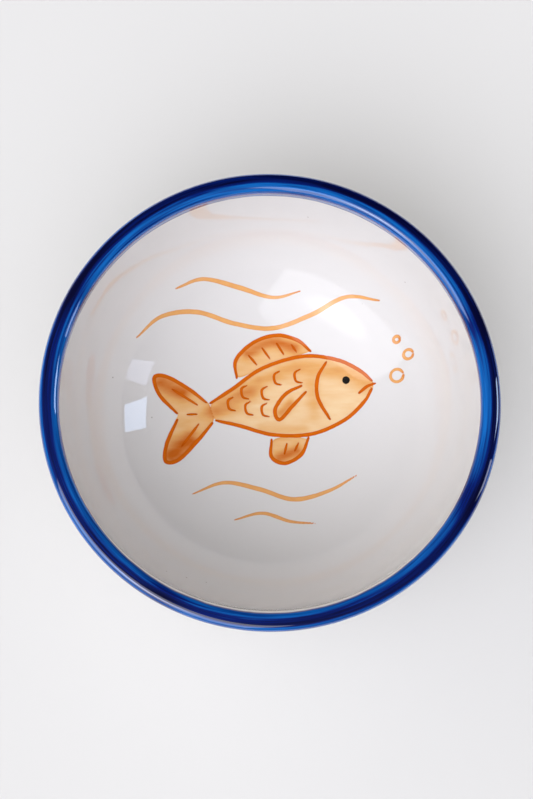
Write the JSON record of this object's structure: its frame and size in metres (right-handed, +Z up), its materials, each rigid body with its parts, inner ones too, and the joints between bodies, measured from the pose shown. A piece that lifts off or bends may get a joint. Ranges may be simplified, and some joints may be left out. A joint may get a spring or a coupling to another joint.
{
  "type": "painted ceramic tapas bowl",
  "caption": "Round glazed ceramic tapas bowl with a gently dished floor, steep wall, thick lip painted blue and a turned foot ring; a fish is painted inside.",
  "frame": {"origin": "on the table, under the middle of the foot ring", "axes": "+Z up, along the axis that the bowl is turned on; +Y points to the top of the painted picture"},
  "size_m": [0.12, 0.12, 0.0573],
  "materials": {
    "glaze": "gloss"
  },
  "bodies": {
    "root": {"bowl": "glaze"}
  },
  "joints": []
}
